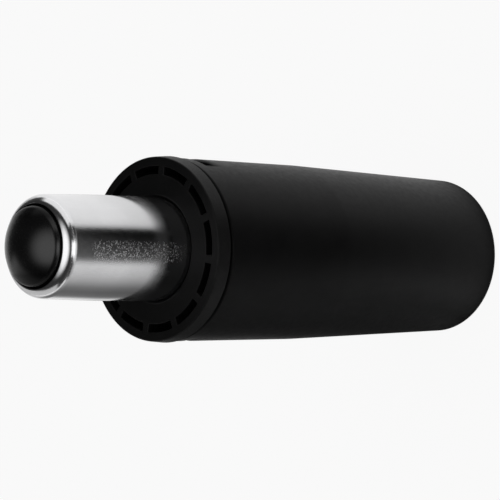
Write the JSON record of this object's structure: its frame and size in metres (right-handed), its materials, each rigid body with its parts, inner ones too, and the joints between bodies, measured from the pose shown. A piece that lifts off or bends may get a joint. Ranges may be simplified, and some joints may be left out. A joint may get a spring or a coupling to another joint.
{
  "type": "chair gas lift",
  "caption": "Chair gas lift: a tapered black column with a slotted guide collar, and a chromed gas spring that slides and swivels in it and is released by a domed button.",
  "frame": {"origin": "on the axis, at the foot of the column", "axes": "+Z along the axis from the foot of the column to the release button; -Y is the side that the picture faces"},
  "size_m": [0.0508, 0.0508, 0.1674],
  "materials": {
    "black_paint": "satin black powder coat",
    "black_moulding": "fine moulded texture",
    "button_plastic": "smooth moulded",
    "tube_chrome": "bright chrome plating",
    "rod_chrome": "ground and hard chromed",
    "hard_steel": "ground",
    "zinc_steel": "zinc plated",
    "spring_steel": "blackened",
    "drawn_steel": "drawn",
    "aluminium": "turned",
    "brass": "turned",
    "nylon": "natural moulded",
    "rubber": "matt"
  },
  "bodies": {
    "column": {"column_tube": "black_paint", "base_plate": "zinc_steel", "guide_bush": "black_moulding", "lower_race": "hard_steel"},
    "cage": {"bearing_cage": "nylon", "bearing_balls": "hard_steel"},
    "rod": {"piston_rod": "rod_chrome", "upper_race": "hard_steel", "thrust_washer": "zinc_steel", "bumper_ring": "rubber", "retaining_washer": "zinc_steel", "retaining_clip": "spring_steel", "piston": "aluminium", "piston_ring": "rubber", "piston_lower_washer": "zinc_steel", "piston_upper_washer": "zinc_steel"},
    "gas_spring": {"pressure_tube": "tube_chrome", "inner_tube": "drawn_steel", "rod_guide": "nylon", "rod_seal": "rubber", "seal_washer": "aluminium", "valve_body": "brass", "valve_body_seal": "rubber", "pin_seals": "rubber", "pin_seal_spacer": "nylon", "pin_guide": "brass", "valve_snap_ring": "spring_steel"},
    "button": {"release_pin": "hard_steel", "button_cap": "button_plastic"}
  },
  "joints": [
    {"name": "swivel", "type": "hinge", "parent": "column", "child": "rod", "pos_m": [0, 0, 0.014], "axis": [0, 0, 1], "continuous": true},
    {"name": "cage_spin", "type": "hinge", "parent": "column", "child": "cage", "pos_m": [0, 0, 0.014], "axis": [0, 0, 1], "continuous": true},
    {"name": "lift", "type": "slide", "parent": "rod", "child": "gas_spring", "axis": [0, 0, 1], "range_m": [0, 0.05]},
    {"name": "button_press", "type": "slide", "parent": "gas_spring", "child": "button", "axis": [0, 0, -1], "range_m": [0, 0.003], "stiffness_N_per_m": 5000, "springref_m": -0.004}
  ],
  "couplings": [
    {"joint": "cage_spin", "follows": "swivel", "ratio": 0.5}
  ]
}
